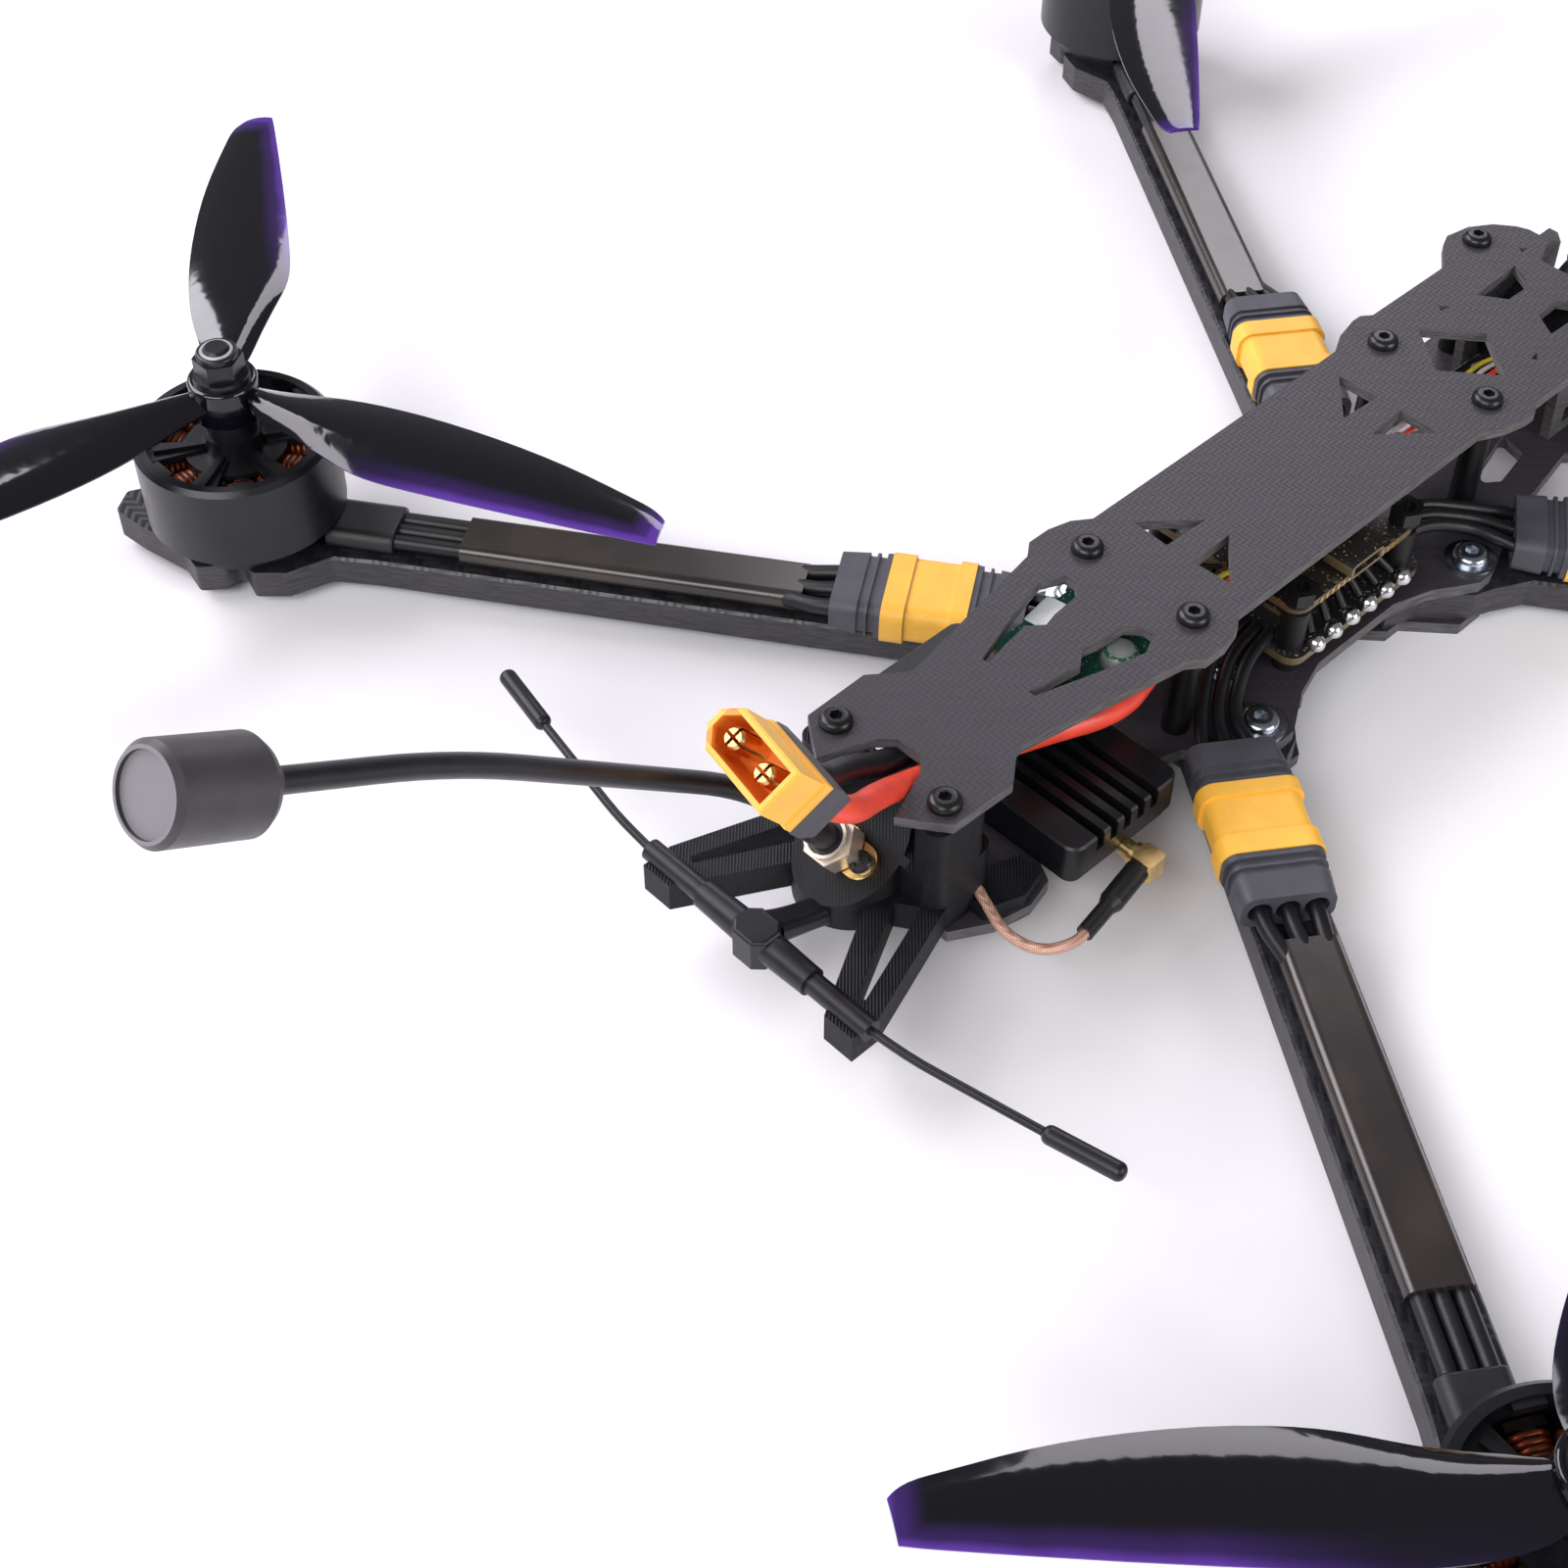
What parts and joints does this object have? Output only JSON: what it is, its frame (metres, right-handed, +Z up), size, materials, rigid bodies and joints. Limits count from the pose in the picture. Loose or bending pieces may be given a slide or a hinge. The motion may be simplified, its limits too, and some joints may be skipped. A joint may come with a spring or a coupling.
{
  "type": "quadcopter",
  "caption": "Long-range carbon-fibre quadcopter: swept arms, open board stack between stand-off plates, spinning three-blade rotors, tilting nose camera, tail plug and antennas.",
  "frame": {"origin": "on the underside of the bottom plate, below the centre of the board stack", "axes": "+Z up, -Y towards the nose and camera, +Y towards the tail, +X towards the craft's left side as its rear_left and front_left nodes are named"},
  "size_m": [0.4656, 0.4377, 0.1241],
  "materials": {
    "carbon_plate": "woven, satin",
    "carbon_arm": "woven, satin",
    "black_post": "anodised",
    "black_screw": "black oxide",
    "bright_bolt": "satin",
    "lower_board": "solder mask",
    "upper_board": "solder mask",
    "solder": "bright",
    "soft_black": "matte",
    "green_board": "solder mask",
    "vtx_black": "anodised",
    "gold": "plated",
    "shrink_black": "semi-matte",
    "braid": "braided",
    "tpu": "printed layers",
    "nickel": "polished",
    "black_plastic": "satin",
    "red_silicone": "matte",
    "black_silicone": "matte",
    "yellow_plastic": "satin",
    "grey_plastic": "satin",
    "motor_black": "anodised",
    "copper": "enamelled",
    "prop_black": "translucent edges",
    "lens_black": "glossy"
  },
  "bodies": {
    "frame": {"bottom_plate": "carbon_plate", "main_plate": "carbon_plate", "top_plate": "carbon_plate", "standoffs": "black_post", "top_screws": "black_screw", "base_screws": "black_screw", "clamp_bolts": "bright_bolt", "clamp_washers": "bright_bolt", "clamp_nuts": "bright_bolt", "arm_rear_left": "carbon_arm", "arm_rear_right": "carbon_arm", "arm_front_left": "carbon_arm", "arm_front_right": "carbon_arm", "esc_board": "lower_board", "solder_joints": "solder", "fc_board": "upper_board", "stack_grommets": "soft_black", "stack_screws": "black_screw", "stack_nuts": "black_screw", "receiver_board": "green_board", "vtx_case": "vtx_black", "vtx_heatsink": "vtx_black", "mmcx_plug": "gold", "coax_sleeve": "shrink_black", "coax_pigtail": "braid", "tail_mount": "tpu", "sma_flange": "gold", "diversity_antenna": "black_plastic", "whiskers": "black_plastic", "xt60_shell": "yellow_plastic", "xt60_pins": "gold", "xt60_cap": "grey_plastic", "battery_lead_red": "red_silicone", "battery_lead_black": "black_silicone", "connector_caps": "grey_plastic", "connector_shells": "yellow_plastic", "motor_wires": "black_silicone", "wire_sleeves": "shrink_black", "motor_shrinks": "shrink_black", "motor_bases": "motor_black", "motor_stators": "copper", "motor_screws": "black_screw", "camera_plates": "carbon_plate"},
    "rotor_rear_left": {"motor_bell_rl": "motor_black", "propeller_rl": "prop_black", "prop_nut_rl": "black_screw"},
    "rotor_rear_right": {"motor_bell_rr": "motor_black", "propeller_rr": "prop_black", "prop_nut_rr": "black_screw"},
    "rotor_front_left": {"motor_bell_fl": "motor_black", "propeller_fl": "prop_black", "prop_nut_fl": "black_screw"},
    "rotor_front_right": {"motor_bell_fr": "motor_black", "propeller_fr": "prop_black", "prop_nut_fr": "black_screw"},
    "camera": {"camera_body": "black_plastic", "camera_lens": "lens_black"},
    "video_antenna": {"sma_nut": "nickel", "antenna_stalk": "black_plastic", "antenna_head": "black_plastic"}
  },
  "joints": [
    {"name": "spin_rear_left", "type": "hinge", "parent": "frame", "child": "rotor_rear_left", "pos_m": [0.147, 0.1255, 0.02], "axis": [0, 0, 1], "continuous": true},
    {"name": "spin_rear_right", "type": "hinge", "parent": "frame", "child": "rotor_rear_right", "pos_m": [-0.147, 0.1255, 0.02], "axis": [0, 0, 1], "continuous": true},
    {"name": "spin_front_left", "type": "hinge", "parent": "frame", "child": "rotor_front_left", "pos_m": [0.147, -0.1255, 0.02], "axis": [0, 0, 1], "continuous": true},
    {"name": "spin_front_right", "type": "hinge", "parent": "frame", "child": "rotor_front_right", "pos_m": [-0.147, -0.1255, 0.02], "axis": [0, 0, 1], "continuous": true},
    {"name": "camera_tilt", "type": "hinge", "parent": "frame", "child": "camera", "pos_m": [0, -0.08, 0.0226], "axis": [-1, 0, 0], "range_deg": [-35, 5]},
    {"name": "antenna_swivel", "type": "hinge", "parent": "frame", "child": "video_antenna", "pos_m": [0.0015, 0.1099, 0.0212], "axis": [0, 0.5592, 0.829], "range_deg": [-75, 60]}
  ]
}
